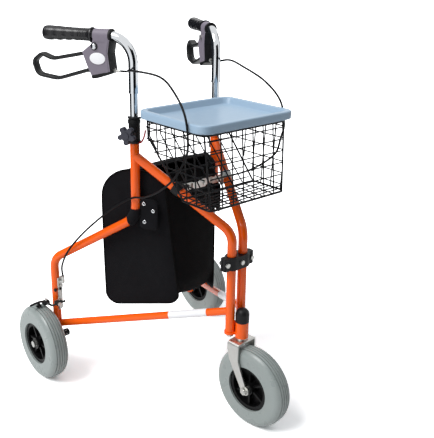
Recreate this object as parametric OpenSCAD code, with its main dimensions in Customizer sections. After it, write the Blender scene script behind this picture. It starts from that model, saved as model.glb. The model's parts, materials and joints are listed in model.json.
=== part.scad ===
// Three wheel rollator with a folding frame, a tray, a wire basket and a fabric bag.
// Millimetres, ground at z = 0, the caster toward -Y. The right side (-X) is drawn and mirrored.

/* [Wheels] */
// Outside diameter of each tyre
wheel_d = 200; // [180:1:210]
// Width of each tyre
wheel_w = 50; // [44:1:52]
// Number of ribs in each wheel centre
rim_ribs = 6; // [4:1:9]
// How far the caster wheel stands from its swivel axis
trail = 41; // [36:1:46]
// Angle the caster is turned to in the rest position
caster_turn = 5.5; // [-20:0.5:20]

/* [Frame] */
// Outside diameter of the frame tubes
tube_d = 22.2; // [21.8:0.1:22.6]
// Distance between the two front uprights
upright_gap = 35; // [34.6:0.1:38]
// Angle between each side frame and the walking direction
splay = 26; // [25:0.5:27]
// Outside diameter of the lower rails
rail_d = 19; // [16:0.5:20]
// Distance from an upright back to the rear leg
leg_reach = 497; // [490:1:505]

/* [Handles] */
// Height of the grip axis with the handles as in the photograph
grip_z = 912; // [905:1:920]
// Length of each grip
grip_len = 132; // [124:1:138]
// Lobes on each height knob
knob_lobes = 5; // [3:1:7]

/* [Carriers] */
// Width of the tray
tray_x = 280; // [268:1:288]
// Height of the tray's rim
tray_h = 20; // [17:1:24]
// Spacing of the basket's wires
wire_pitch = 20; // [17:0.5:24]
// Thickness of the basket's wires
wire_t = 2.4; // [2:0.1:3]

/* [Hidden] */
$fn = 48;
wheel_r = wheel_d / 2;
half_gap = upright_gap / 2;
tube_wall = 1.5;
tube_in = 19.2;
post_d = 19;
socket_s = 250;
socket_top = 722;
socket_bend_z = 482;
corner_z = 329;
diag_weld_z = 638;
diag_bend_z = 482;
rail_rear_z = 137;
rail_front_z = 283;
upright_end_z = 230;
head_y = -24;
knob_z = 694;
axle_d = 10;
wheel_off = 47.5;
rear_y = leg_reach * cos(splay);
front_y = head_y - trail * cos(caster_turn);
y_mid = (rear_y + front_y) / 2;
strut_s = 140;
strut_z = diag_bend_z + (diag_weld_z - diag_bend_z) * strut_s / socket_s;
tray_y0 = -34;
tray_y1 = 198;
rim_z = socket_top + 7.8;
tray_z = rim_z + 3.7;
knee_z = rim_z - 39.8;
basket_low = rim_z - 163.8;
pin_s = 342;
pin_z = grip_z - 24;
entry_z = grip_z - 78;

// Placing

// The whole part, with its origin under the middle of its box
module placed() {
  translate([0, -y_mid, 0]) children();
}

// The plane of the right or left side frame: X along the frame to the rear, Y outward, Z up
module side(left = false) {
  placed()
    mirror([left ? 1 : 0, 0, 0])
      translate([-half_gap, 0, 0])
        rotate([0, 0, 90 + splay])
          children();
}

// The rear axle: X to the rear, Y outboard along the axle, Z up
module at_axle() {
  translate([leg_reach, 0, wheel_r])
    rotate([0, 0, -splay])
      children();
}

// The caster: swivel axis at the origin, wheel toward -Y
module at_caster() {
  placed()
    translate([0, head_y, 0])
      rotate([0, 0, caster_turn])
        children();
}

// Runs of tube and strip

function unit(v) = v / norm(v);
function turn_of(p, i) = acos(unit(p[i] - p[i - 1]) * unit(p[i + 1] - p[i]));
function leaves_left(p, i) = cross(p[i] - p[i - 1], p[i + 1] - p[i]) > 0;
function tangent(p, r, i) = r[i] * tan(turn_of(p, i) / 2);
function bend_in(p, r, i) = p[i] - unit(p[i] - p[i - 1]) * tangent(p, r, i);
function bend_out(p, r, i) = p[i] + unit(p[i + 1] - p[i]) * tangent(p, r, i);
function left_of(v) = [-v[1], v[0]];
function bend_mid(p, r, i) =
  bend_in(p, r, i) + left_of(unit(p[i] - p[i - 1])) * r[i] * (leaves_left(p, i) ? 1 : -1);
function bend_start(p, r, i) =
  (leaves_left(p, i) ? bend_in(p, r, i) : bend_out(p, r, i)) - bend_mid(p, r, i);

// A straight piece of the run, drawn along X in the XY plane
module straight(a, b) {
  v = b - a;
  translate(a)
    rotate([0, 0, atan2(v[1], v[0])])
      rotate([90, 0, 90])
        linear_extrude(norm(v))
          children();
}

// A run through the points p with the bend radii r, with the section given as a 2D child.
// Each bend is a touch fuller than the straights, which run a little way into it.
seat = 0.2;
module run(p, r) {
  last = len(p) - 1;
  rotate([90, 0, 0])
    union() {
      for (i = [0 : last - 1]) {
        along = unit(p[i + 1] - p[i]) * seat;
        straight(i == 0 ? p[0] : bend_out(p, r, i) - along,
                 i == last - 1 ? p[last] : bend_in(p, r, i + 1) + along)
          children();
      }
      for (i = [1 : 1 : last - 1]) {
        start = bend_start(p, r, i);
        translate(bend_mid(p, r, i))
          rotate([0, 0, atan2(start[1], start[0])])
            rotate_extrude(angle = turn_of(p, i))
              translate([r[i], 0])
                scale(1.004)
                  children();
      }
    }
}

// A hollow bent tube
module pipe(p, r, d, bore) {
  last = len(p) - 1;
  far = concat([p[0] + unit(p[0] - p[1])],
               [for (i = [1 : 1 : last - 1]) p[i]],
               [p[last] + unit(p[last] - p[last - 1])]);
  difference() {
    run(p, r) circle(d = d);
    run(far, r) circle(d = bore);
  }
}

// A round bar between two points in space
module bar(a, b, d) {
  v = b - a;
  translate(a)
    rotate([0, acos(v[2] / norm(v)), atan2(v[1], v[0])])
      cylinder(d = d, h = norm(v));
}

// A flat rectangle with round corners
module round_rect(x0, y0, x1, y1, r) {
  union() {
    translate([x0 + r, y0]) square([x1 - x0 - 2 * r, y1 - y0]);
    translate([x0, y0 + r]) square([x1 - x0, y1 - y0 - 2 * r]);
    for (x = [x0 + r, x1 - r], y = [y0 + r, y1 - r])
      translate([x, y]) circle(r = r);
  }
}

// A hexagon head or nut across the flats w, along Z
module hex(w, h) {
  cylinder(d = w / cos(30), h = h, $fn = 6);
}

// Head and front clamp

head_top = 259;
head_low = 218;
module head_tube() {
  color("orangered")
    placed()
      difference() {
        union() {
          translate([0, head_y, head_low]) cylinder(d = 32, h = head_top - head_low);
          for (x = [-half_gap, half_gap])
            translate([x, 0, 224]) cylinder(d = 27, h = 5.7);
          translate([-half_gap, -13.5, 224]) cube([upright_gap, 27, 5.7]);
          translate([-14, head_y, 224]) cube([28, -head_y, 5.7]);
          translate([-3, head_y, 229]) cube([6, -head_y + 9, 20]);
        }
        translate([0, head_y, head_low - 1]) cylinder(d = 22, h = head_top - head_low + 2);
        for (x = [-half_gap, half_gap])
          translate([x, 0, 220]) cylinder(d = 10.1, h = 20);
      }
}

module head_cap() {
  color("dimgray")
    placed()
      translate([0, head_y, head_top])
        rotate_extrude()
          difference() {
            union() {
              square([16.6, 20]);
              intersection() {
                translate([0, 19]) scale(1) circle(r = 16.6);
                translate([0, 18]) square([20, 20]);
              }
            }
            translate([-20, -1]) square([20, 60]);
            translate([-1, -1]) square([13, 18]);
          }
}

module head_bearings() {
  color("silver")
    placed()
      for (z = [head_low + 0.6, head_top - 8])
        translate([0, head_y, z])
          difference() {
            cylinder(d = 21.9, h = 7);
            translate([0, 0, -1]) cylinder(d = 12.1, h = 9);
          }
}

module hinge_pins() {
  color("silver")
    placed()
      for (x = [-half_gap, half_gap])
        translate([x, 0, 0]) {
          translate([0, 0, upright_end_z]) cylinder(d = tube_in - 0.2, h = 66);
          translate([0, 0, 222]) cylinder(d = 10, h = 10);
          translate([0, 0, 217]) hex(15, 6.8);
        }
}

clamp_z = 394;
clamp_h = 32;
clamp_bolt_x = [-half_gap - 22, 0, half_gap + 22];
module clamp_half(back) {
  placed()
    difference() {
      translate([0, 0, clamp_z])
        intersection() {
          linear_extrude(clamp_h)
            difference() {
              union() {
                for (x = [-half_gap, half_gap]) translate([x, 0]) circle(d = 33);
                translate([-half_gap, -16.5]) square([upright_gap, 33]);
                round_rect(-half_gap - 29, -9, half_gap + 29, 9, 4);
              }
              for (x = [-half_gap, half_gap]) translate([x, 0]) circle(d = tube_d + 0.2);
            }
          translate([-80, back ? 0.8 : -30.8, -1]) cube([160, 30, clamp_h + 2]);
        }
      for (x = clamp_bolt_x)
        translate([x, 40, clamp_z + clamp_h / 2]) rotate([90, 0, 0]) cylinder(d = 6.2, h = 80);
    }
}

module clamp_front() {
  color("dimgray") clamp_half(false);
}

module clamp_rear() {
  color("dimgray") clamp_half(true);
}

module clamp_bolts() {
  color("silver")
    placed()
      for (x = clamp_bolt_x) {
        face = x == 0 ? 16.6 : 9.1;
        translate([x, 0, clamp_z + clamp_h / 2]) {
          rotate([90, 0, 0]) translate([0, 0, -face - 6]) cylinder(d = 6, h = 2 * face + 7);
          rotate([90, 0, 0]) translate([0, 0, face]) cylinder(d = 11, h = 4);
          rotate([-90, 0, 0]) translate([0, 0, face]) hex(10, 5);
        }
      }
}

// Side frames

main_path = [[socket_s, socket_top], [socket_s, socket_bend_z], [leg_reach, corner_z], [leg_reach, 84]];
main_bends = [0, 60, 45, 0];
module main_tube(left) {
  color("orangered")
    side(left)
      difference() {
        pipe(main_path, main_bends, tube_d, tube_in);
        translate([socket_s, 0, knob_z]) rotate([-90, 0, 0]) cylinder(d = 8.2, h = 30);
        at_axle() translate([0, 40, 0]) rotate([90, 0, 0]) cylinder(d = axle_d + 0.2, h = 80);
      }
}

front_path = [[0, upright_end_z], [0, diag_bend_z], [socket_s, diag_weld_z]];
front_bends = [0, 45, 0];
module front_tube(left) {
  color("orangered")
    side(left)
      difference() {
        pipe(front_path, front_bends, tube_d, tube_in);
        translate([socket_s, 0, diag_weld_z - 80]) cylinder(d = tube_d + 0.1, h = 160);
      }
}

module lower_rail(left) {
  color("orangered")
    side(left)
      difference() {
        bar([0, 0, rail_front_z], [leg_reach, 0, rail_rear_z], rail_d);
        bar([-20, 0, rail_front_z + 20 * (rail_front_z - rail_rear_z) / leg_reach],
            [leg_reach + 20, 0, rail_rear_z - 20 * (rail_front_z - rail_rear_z) / leg_reach],
            rail_d - 3);
        translate([0, 0, rail_front_z - 60]) cylinder(d = tube_d + 0.1, h = 120);
        translate([leg_reach, 0, rail_rear_z - 60]) cylinder(d = tube_d + 0.1, h = 120);
      }
}

collar_low = 669;
collar_top = 727;
module collar(left) {
  color("dimgray")
    side(left)
      difference() {
        union() {
          translate([socket_s, 0, collar_low]) cylinder(d = 27.4, h = collar_top - collar_low);
          translate([socket_s, 0, collar_top - 10]) cylinder(d = 30, h = 7);
          translate([socket_s, 0, collar_low]) cylinder(d = 30, h = 6);
          translate([socket_s, 0, knob_z]) rotate([-90, 0, 0]) cylinder(d = 20, h = 24);
        }
        translate([socket_s, 0, collar_low - 1])
          cylinder(d = tube_d + 0.2, h = socket_top - collar_low + 1.1);
        translate([socket_s, 0, collar_low]) cylinder(d = post_d + 0.2, h = 80);
        translate([socket_s, 0, knob_z]) rotate([-90, 0, 0]) cylinder(d = 8.2, h = 40);
      }
}

// Clip round the diagonal tube with a lug for the folding strut
module strut_clip(left) {
  tilt = atan2(diag_weld_z - diag_bend_z, socket_s);
  color("dimgray")
    side(left)
      difference() {
        union() {
          translate([strut_s, 0, strut_z])
            rotate([0, 90 - tilt, 0])
              translate([0, 0, -10]) cylinder(d = 29, h = 20);
          translate([strut_s, 0, strut_z - 8])
            rotate([0, 0, -splay])
              union() {
                translate([-7, -26, 0]) cube([14, 26, 16]);
                translate([-7, -26, 8]) rotate([0, 90, 0]) cylinder(d = 16, h = 14);
              }
        }
        translate([strut_s, 0, strut_z])
          rotate([0, 90 - tilt, 0])
            translate([0, 0, -40])
              cylinder(d = tube_d + 0.1, h = 80);
        translate([strut_s, 0, strut_z])
          rotate([0, 0, -splay])
            translate([-20, -26, 0]) rotate([0, 90, 0]) cylinder(d = 6.2, h = 40);
        translate([strut_s, 0, strut_z - 9])
          rotate([0, 0, -splay])
            translate([-2.5, -40, 0]) cube([5, 23, 18]);
      }
}

// Strap of the bag, wrapped round the bend below the socket, with a flap in front of it
strap_path = [
  [socket_s, socket_bend_z + 46], [socket_s, socket_bend_z], [socket_s + 40, socket_bend_z - 24.8]
];
module bag_strap(left) {
  color("#222222")
    side(left)
      difference() {
        union() {
          run(strap_path, main_bends) circle(d = tube_d + 5);
          translate([socket_s - 46, 1.5, socket_bend_z + 16])
            rotate([90, 0, 0])
              linear_extrude(3)
                round_rect(-4, -32, 42, 30, 12);
        }
        pipe_core();
      }
}
module pipe_core() {
  run([[socket_s, socket_top], [socket_s, socket_bend_z], [leg_reach, corner_z]], main_bends)
    circle(d = tube_d + 0.3);
}

// Brake cable, swept along its route
cable_d = 5;
cable_points = [
  [280.5, 0, entry_z], [264, 5, entry_z + 1], [236, 31, entry_z + 8], [162, 43, entry_z + 1],
  [110, 78, entry_z - 25], [74, 105, 769], [63, 114, 716], [70, 110, 680], [97, 107, 632], [151, 76, 584],
  [208, 39, 551], [250, 17, 537], [300, 17, 506], [leg_reach - 147, 17, 464], [leg_reach - 97, 17, 415],
  [leg_reach - 57, 17, 366], [leg_reach - 31, 10, 318], [leg_reach - 24, 0, 284]
];
function cat(a, b, c, d, t) =
  0.5 * (2 * b + (c - a) * t + (2 * a - 5 * b + 4 * c - d) * t * t + (3 * b - a - 3 * c + d) * t * t * t);
function smooth(p, k) = let (n = len(p)) concat(
  [for (i = [0 : n - 2], j = [0 : k - 1])
    cat(p[max(i - 1, 0)], p[i], p[i + 1], p[min(i + 2, n - 1)], j / k)],
  [p[n - 1]]);
function ring_at(p, i, d, m) = let (
    n = len(p),
    t = unit(p[min(i + 1, n - 1)] - p[max(i - 1, 0)]),
    u = unit(cross(t, [0, 1, 0.2])),
    v = cross(t, u))
  [for (k = [0 : m - 1]) p[i] + d / 2 * (cos(360 * k / m) * u + sin(360 * k / m) * v)];
module cord(p, d, m) {
  n = len(p);
  polyhedron(
    [for (i = [0 : n - 1]) each ring_at(p, i, d, m)],
    concat(
      [[for (k = [0 : m - 1]) k]],
      [for (i = [0 : n - 2], k = [0 : m - 1])
        [i * m + k, (i + 1) * m + k, (i + 1) * m + (k + 1) % m, i * m + (k + 1) % m]],
      [[for (k = [m - 1 : -1 : 0]) (n - 1) * m + k]]));
}
module brake_cable(left) {
  color("#1a1a1a")
    side(left)
      cord(smooth(cable_points, 2), cable_d, 8);
}

// Rear brake: a strip down the front of the leg, with a cable stop above and a pivot below
brake_y = 12;
brake_z = 112;
module brake_mount(left) {
  color("silver")
    side(left)
      at_axle()
        difference() {
          union() {
            rotate([0, 0, splay]) translate([-14.4, -8, 84]) cube([3.2, 16, 92]);
            rotate([0, 0, splay]) translate([-24, 0, 164]) cylinder(d = 9, h = 18);
            rotate([0, 0, splay]) translate([-24, -4.5, 164]) cube([12, 9, 5]);
            for (z = [104, 152])
              rotate([0, 0, splay]) translate([-18, 0, z]) rotate([0, 90, 0]) cylinder(d = 9, h = 5);
            translate([-24, brake_y - 10, brake_z - 7]) cube([3, 17, 14]);
            translate([-24, -2, brake_z - 7]) cube([12, 5, 14]);
            translate([-37, brake_y, brake_z]) rotate([0, 90, 0]) cylinder(d = 6, h = 15);
            translate([-37, brake_y, brake_z]) rotate([0, 90, 0]) cylinder(d = 10, h = 2.5);
          }
          cylinder(d = tube_d + 0.1, h = 400, center = true);
          rotate([0, 0, splay]) translate([-24, 0, 178]) cylinder(d = cable_d + 0.4, h = 20);
        }
}

module brake_arm(left) {
  color("dimgray")
    side(left)
      at_axle()
        difference() {
          union() {
            translate([-34.2, -10, brake_z - 5]) cube([9.9, 40, 10]);
            translate([-34.2, brake_y, brake_z]) rotate([0, 90, 0]) cylinder(d = 15, h = 9.9);
            translate([-34.2, 29, brake_z - 7]) cube([44, 10, 8]);
            translate([-13, 25, wheel_r + 3.4]) cube([26, 44, 4.2]);
            translate([-7, 31, wheel_r + 6]) cube([14, 13, 10]);
          }
          translate([-40, brake_y, brake_z]) rotate([0, 90, 0]) cylinder(d = 6.2, h = 30);
        }
}

module rear_axle(left) {
  color("silver")
    side(left)
      at_axle() {
        rotate([-90, 0, 0]) translate([0, 0, -26]) cylinder(d = axle_d, h = 103);
        difference() {
          rotate([-90, 0, 0]) translate([0, 0, 8]) cylinder(d = 18, h = wheel_off - 23.3 - 8);
          cylinder(d = tube_d + 0.1, h = 60, center = true);
        }
        rotate([-90, 0, 0]) translate([0, 0, wheel_off + 23.3]) cylinder(d = 18, h = 2);
        rotate([-90, 0, 0]) translate([0, 0, wheel_off + 24]) hex(16, 7);
        rotate([90, 0, 0]) translate([0, 0, 15]) hex(17, 8);
        rotate([90, 0, 0]) translate([0, 0, 22]) cylinder(d = 18, h = 8);
      }
}

// Handles

ring_z = grip_z - 126;
handle_end = 470;
handle_path = [[socket_s, ring_z], [socket_s, grip_z], [handle_end, grip_z]];
handle_bends = [0, 58, 0];
module handle_tube(left) {
  color("lightgray")
    side(left)
      difference() {
        union() {
          run(handle_path, handle_bends) circle(d = 22.2);
          translate([socket_s, 0, ring_z]) cylinder(d = 23.6, h = 4);
        }
        run([[socket_s, ring_z - 1], [socket_s, grip_z], [handle_end + 1, grip_z]], handle_bends)
          circle(d = 19.1);
      }
}

module handle_post(left) {
  color("lightgray")
    side(left)
      translate([socket_s, 0, 0])
        difference() {
          translate([0, 0, 560]) cylinder(d = post_d, h = ring_z + 24 - 560);
          translate([0, 0, 559]) cylinder(d = post_d - 3, h = 300);
        }
}

grip_s = 351;
module grip(left) {
  color("#1a1a1a")
    side(left)
      translate([grip_s, 0, grip_z])
        rotate([0, 90, 0])
          rotate_extrude()
            difference() {
              polygon([
                [0, 0], [18, 0], [18, 4], [15, 8], [14.6, 34], [15.6, 70], [16.8, 100],
                [17, grip_len - 10], [16, grip_len - 3], [13, grip_len], [0, grip_len]
              ]);
              translate([-1, -1]) square([12.15, handle_end - grip_s + 1.2]);
            }
}

housing = [
  [305, grip_z - 9], [345, grip_z - 9], [350, grip_z - 19], [375, grip_z - 38], [363, grip_z - 69],
  [349, grip_z - 97], [335, grip_z - 94], [306, grip_z - 82], [311, grip_z - 38]
];
housing_t = 28;
module brake_housing(left) {
  color("slategray")
    side(left)
      difference() {
        union() {
          translate([305, 0, grip_z]) rotate([0, 90, 0]) cylinder(d = 30, h = 41);
          translate([305, -15, grip_z - 13]) cube([40, 30, 13]);
          rotate([90, 0, 0]) translate([0, 0, -housing_t / 2]) linear_extrude(housing_t) polygon(housing);
          rotate([90, 0, 0]) translate([0, 0, -housing_t / 2 - 1]) linear_extrude(housing_t + 2)
            intersection() {
              polygon(housing);
              translate([298, grip_z - 112]) square([16, 103]);
            }
        }
        run(handle_path, handle_bends) circle(d = 22.5);
        rotate([90, 0, 0])
          translate([0, 0, -11])
            linear_extrude(22)
              polygon([
                [330, grip_z - 90], [330, grip_z - 14.5], [400, grip_z - 14.5], [400, grip_z - 122],
                [356, grip_z - 122], [350, grip_z - 90]
              ]);
        translate([pin_s, 0, pin_z]) rotate([90, 0, 0]) cylinder(d = 8.1, h = 60, center = true);
        translate([280, 0, entry_z]) rotate([0, 90, 0]) cylinder(d = 6.1, h = 65);
      }
}

// Lever pin with its heads, and the cable adjuster on the same housing
module lever_pin(left) {
  color("silver")
    side(left) {
      translate([pin_s, housing_t / 2 + 1, pin_z]) rotate([90, 0, 0]) cylinder(d = 8, h = housing_t + 2);
      translate([pin_s, housing_t / 2 + 4, pin_z]) rotate([90, 0, 0]) cylinder(d = 13, h = 3.8);
      translate([pin_s, -housing_t / 2 - 0.2, pin_z]) rotate([90, 0, 0]) hex(13, 4);
      translate([283.5, 0, entry_z]) rotate([0, 90, 0]) cylinder(d = 6, h = 45);
      translate([296, 0, entry_z]) rotate([0, 90, 0]) hex(10, 5);
    }
}

lever_path = [
  [355, pin_z - 53], [451, pin_z - 82], [507, pin_z - 75], [517, pin_z - 43], [493, pin_z - 25],
  [463, pin_z - 36], [355, pin_z - 14]
];
lever_bends = [0, 60, 20, 14, 14, 40, 0];
lever_section = [[-3.2, -8], [-1.2, -10], [1.2, -10], [3.2, -8], [3.2, 8], [1.2, 10], [-1.2, 10], [-3.2, 8]];
module brake_lever(left) {
  color("#1a1a1a")
    side(left)
      difference() {
        union() {
          run(lever_path, lever_bends) polygon(lever_section);
          rotate([90, 0, 0])
            translate([0, 0, -9])
              linear_extrude(18)
                polygon([
                  [pin_s - 6, pin_z - 4], [pin_s + 3, pin_z + 6], [363, pin_z - 9],
                  [363, pin_z - 61], [352, pin_z - 58]
                ]);
          translate([pin_s, 9.5, pin_z]) rotate([90, 0, 0]) cylinder(d = 18, h = 19);
        }
        translate([pin_s, 0, pin_z]) rotate([90, 0, 0]) cylinder(d = 8.1, h = 60, center = true);
      }
}

// Star knob on its stud, square to the frame's plane
module height_knob(left) {
  color("dimgray")
    side(left)
      translate([socket_s, 0, knob_z])
        rotate([-90, 0, 0])
          union() {
            translate([0, 0, 9.9]) cylinder(d = 8, h = 30);
            translate([0, 0, 24.4]) cylinder(d = 18, h = 6);
            translate([0, 0, 30])
              linear_extrude(13)
                union() {
                  circle(d = 26);
                  for (k = [0 : knob_lobes - 1])
                    rotate([0, 0, k * 360 / knob_lobes + 18]) {
                      translate([0, -6]) square([16, 12]);
                      translate([16, 0]) circle(d = 12);
                    }
                }
            translate([0, 0, 42]) cylinder(d = 16, h = 3);
          }
}

// Folding strut between the diagonals
strut_pivot_in = 26;
strut_len = half_gap + strut_s * sin(splay) - strut_pivot_in;
strut_gap = 5;
module strut_link(left) {
  color("silver")
    side(left)
      translate([strut_s, 0, strut_z])
        rotate([0, 0, -splay])
          translate([0, -strut_pivot_in, 0])
            union() {
              translate([-2.2, 0, 0]) rotate([0, 90, 0]) cylinder(d = 15, h = 4.4);
              translate([-12, 0, 0]) rotate([0, 90, 0]) cylinder(d = 6, h = 24);
              for (x = [-12, 9]) translate([x, 0, 0]) rotate([0, 90, 0]) cylinder(d = 10, h = 3);
              translate([-2.2, -22, -7.5]) cube([4.4, 22, 15]);
              translate([left ? -2.2 : -strut_gap - 1.5, -22, -7.5]) cube([strut_gap + 3.7, 5, 15]);
              translate([left ? strut_gap - 1.5 : -strut_gap - 1.5, -strut_len, -7.5])
                cube([3, strut_len - 17, 15]);
              translate([left ? strut_gap - 1.5 : -strut_gap - 1.5, -strut_len, 0])
                rotate([0, 90, 0]) cylinder(d = 15, h = 3);
              translate([left ? strut_gap - 1.8 : -strut_gap - 4.5, -strut_len, 0])
                rotate([0, 90, 0]) cylinder(d = 8, h = 6.3);
            }
}

// Wheels

module tyre_shape() {
  rotate_extrude()
    difference() {
      union() {
        translate([52.1, -16.6]) square([10, 33.2]);
        translate([56.2, -wheel_w / 2]) square([wheel_r - 18 - 56.2, wheel_w]);
        translate([56, -wheel_w / 2 + 18]) square([wheel_r - 56, wheel_w - 36]);
        for (y = [-1, 1])
          translate([wheel_r - 18, y * (wheel_w / 2 - 18)]) circle(r = 18);
      }
      for (y = [-14, -7, 0, 7, 14])
        translate([wheel_r - (abs(y) > 10 ? 4 : 2), y - 0.9]) square([6, 1.8]);
    }
}

module rim_shape() {
  difference() {
    union() {
      rotate_extrude()
        union() {
          translate([axle_d / 2 + 0.1, -23]) square([10, 46]);
          translate([10, -3]) square([38, 6]);
          translate([46, -20]) square([6, 40]);
          for (y = [-20, 17]) translate([46, y]) square([9.7, 3]);
        }
      for (k = [0 : rim_ribs - 1])
        rotate([0, 0, k * 360 / rim_ribs])
          translate([10, -2.5, -15])
            cube([38, 5, 30]);
    }
    cylinder(d = axle_d + 0.2, h = 100, center = true);
    rotate_extrude()
      for (y = [-26, 20]) translate([44, y]) square([20, 6]);
  }
}

module at_rear_wheel(left) {
  side(left)
    at_axle()
      translate([0, wheel_off, 0])
        rotate([-90, 0, 0])
          children();
}

module rear_tyre(left) {
  color("lightslategray") at_rear_wheel(left) tyre_shape();
}

module rear_rim(left) {
  color("#111111") at_rear_wheel(left) rim_shape();
}

module at_front_wheel() {
  at_caster()
    translate([0, -trail, wheel_r])
      rotate([0, 90, 0])
        children();
}

module front_tyre() {
  color("lightslategray") at_front_wheel() tyre_shape();
}

module front_rim() {
  color("#111111") at_front_wheel() rim_shape();
}

// Caster fork, pressed from one plate: a channel profile trimmed to the leg's outline

module fork() {
  crown_top = 213;
  color("silver")
    at_caster()
      difference() {
        intersection() {
          translate([0, 40, 0])
            rotate([90, 0, 0])
              linear_extrude(120)
                difference() {
                  round_rect(-33, 60, 33, crown_top, 9);
                  round_rect(-28.7, 40, 28.7, crown_top - 5, 5);
                }
          union() {
            translate([-50, 0, 0])
              rotate([90, 0, 90])
                linear_extrude(100)
                  polygon([
                    [-17, 240], [17, 240], [17, 192], [9, 165], [-trail + 8, wheel_r - 8],
                    [-trail - 8.5, wheel_r - 6], [-17, 168]
                  ]);
            translate([-50, -trail, wheel_r]) rotate([0, 90, 0]) cylinder(r = 12, h = 100);
          }
        }
        cylinder(d = 12.1, h = 300);
        translate([-60, -trail, wheel_r]) rotate([0, 90, 0]) cylinder(d = axle_d + 0.1, h = 120);
      }
}

module fork_stem() {
  color("silver")
    at_caster()
      union() {
        translate([0, 0, 201]) cylinder(d = 12, h = 72);
        translate([0, 0, 202]) hex(18, 5.9);
        translate([0, 0, 213.1]) cylinder(d = 26, h = 4.5);
        translate([0, 0, head_top + 1]) hex(18, 10);
      }
}

module front_axle() {
  color("silver")
    at_caster()
      translate([0, -trail, wheel_r])
        rotate([0, 90, 0])
          union() {
            translate([0, 0, -41]) cylinder(d = axle_d, h = 82);
            for (z = [-28.6, 23.3]) translate([0, 0, z]) cylinder(d = 18, h = 5.3);
            translate([0, 0, -39.1]) hex(16, 6);
            translate([0, 0, 33.1]) hex(16, 7);
          }
}

// Bag

bag_in = 14;
bag_front = 146;
bag_back = 322;
bag_low = 258;
bag_top = 606;
function bag_half(y, inset) = half_gap + y * tan(splay) - (bag_in + inset) / cos(splay);
module bag_plan(inset) {
  f = bag_front + inset;
  b = bag_back - inset;
  polygon([
    [-bag_half(f, inset), f], [bag_half(f, inset), f], [bag_half(b, inset), b], [-bag_half(b, inset), b]
  ]);
}
module bag() {
  color("#222222")
    placed()
      difference() {
        translate([0, 0, bag_low]) linear_extrude(bag_top - bag_low) bag_plan(0);
        translate([0, 0, bag_low + 3]) linear_extrude(bag_top) bag_plan(3);
        translate([-300, bag_back - 60, bag_top - 60])
          rotate([90, 0, 90])
            linear_extrude(600)
              difference() {
                square([80, 80]);
                circle(r = 60);
              }
      }
}

// Basket: a frame of heavier wire with five flat grilles

top_x = 127;
low_x = 116;
top_y0 = -20;
top_y1 = 186;
low_y0 = -32;
low_y1 = 70;
knee_x = top_x - (rim_z - knee_z) * (top_x - low_x) / (rim_z - basket_low);
post_x = half_gap + socket_s * sin(splay);
post_y = socket_s * cos(splay);

module wire_loop(x, y0, y1, z, r, d) {
  for (m = [0, 1])
    mirror([m, 0, 0]) {
      bar([x, y0 + r, z], [x, y1 - r, z], d);
      translate([x - r, y0 + r, z])
        rotate([0, 0, -90])
          rotate_extrude(angle = 90) translate([r, 0]) circle(d = d);
      translate([x - r, y1 - r, z]) rotate_extrude(angle = 90) translate([r, 0]) circle(d = d);
    }
  bar([-x + r, y0, z], [x - r, y0, z], d);
  bar([-x + r, y1, z], [x - r, y1, z], d);
}

module basket_frame() {
  hook = post_d / 2 + 3.4;
  color("#151515")
    placed()
      union() {
        wire_loop(top_x, top_y0, top_y1, rim_z, 18, 5);
        wire_loop(low_x, low_y0, low_y1, basket_low, 14, 5);
        for (m = [0, 1])
          mirror([m, 0, 0]) {
            bar([top_x - 5.3, top_y0 + 5.3, rim_z], [low_x - 4.1, low_y0 + 4.1, basket_low], 4);
            bar([top_x - 5.3, top_y1 - 5.3, rim_z], [knee_x - 5.3, top_y1 - 4, knee_z], 4.4);
            translate([knee_x - 5.3, top_y1 - 4, knee_z]) sphere(d = 5.2);
            bar([knee_x - 5.3, top_y1 - 4, knee_z], [low_x - 4.1, low_y1 - 4.1, basket_low], 4.4);
            bar([post_x - 12, top_y1, rim_z], [post_x - 12, post_y - hook, rim_z], 5);
            bar([post_x - 12, post_y - hook, rim_z], [post_x, post_y - hook, rim_z], 5);
            translate([post_x - 12, post_y - hook, rim_z]) sphere(d = 5.8);
            translate([post_x, post_y, rim_z])
              rotate([0, 0, -90])
                rotate_extrude(angle = 150) translate([hook, 0]) circle(d = 5);
          }
      }
}

// Bars across a panel in both directions, trimmed to the panel's outline
module grille(w, h, row_pitch) {
  cols = floor(w / wire_pitch);
  rows = floor(h / row_pitch);
  linear_extrude(wire_t)
    intersection() {
      children();
      union() {
        for (i = [0 : cols])
          translate([(i - cols / 2) * wire_pitch - wire_t / 2 + w / 2, -50]) square([wire_t, h + 100]);
        for (j = [0 : rows])
          translate([-50, (j + 0.5) * h / (rows + 1) - wire_t / 2]) square([w + 100, wire_t]);
      }
    }
}

module basket_front() {
  h = norm([top_y0 - low_y0, rim_z - basket_low]);
  lean = atan2(top_y0 - low_y0, rim_z - basket_low);
  color("#151515")
    placed()
      translate([-top_x, low_y0 - 1.2, basket_low])
        rotate([90 - lean, 0, 0])
          translate([0, 0, -wire_t])
            grille(2 * top_x, h, 27)
              polygon([
                [top_x - low_x + 12, 3], [2 * top_x - (top_x - low_x) - 12, 3],
                [2 * top_x - 14, h - 3], [14, h - 3]
              ]);
}

module basket_sides() {
  lean = atan2(top_x - low_x, rim_z - basket_low);
  h = rim_z - basket_low;
  k = 1 / cos(lean);
  color("#151515")
    placed()
      for (m = [0, 1])
        mirror([m, 0, 0])
          translate([low_x - 0.6, low_y0, basket_low])
            rotate([90, 0, 90])
              rotate([lean, 0, 0])
                grille(top_y1 - low_y0, h * k, 27)
                  polygon([
                    [11, 4], [low_y1 - low_y0 - 14, 4], [top_y1 - low_y0 - 12, (knee_z - basket_low - 4) * k],
                    [top_y1 - low_y0 - 12, h * k - 4], [top_y0 - low_y0 + 10, h * k - 4]
                  ]);
}

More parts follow.
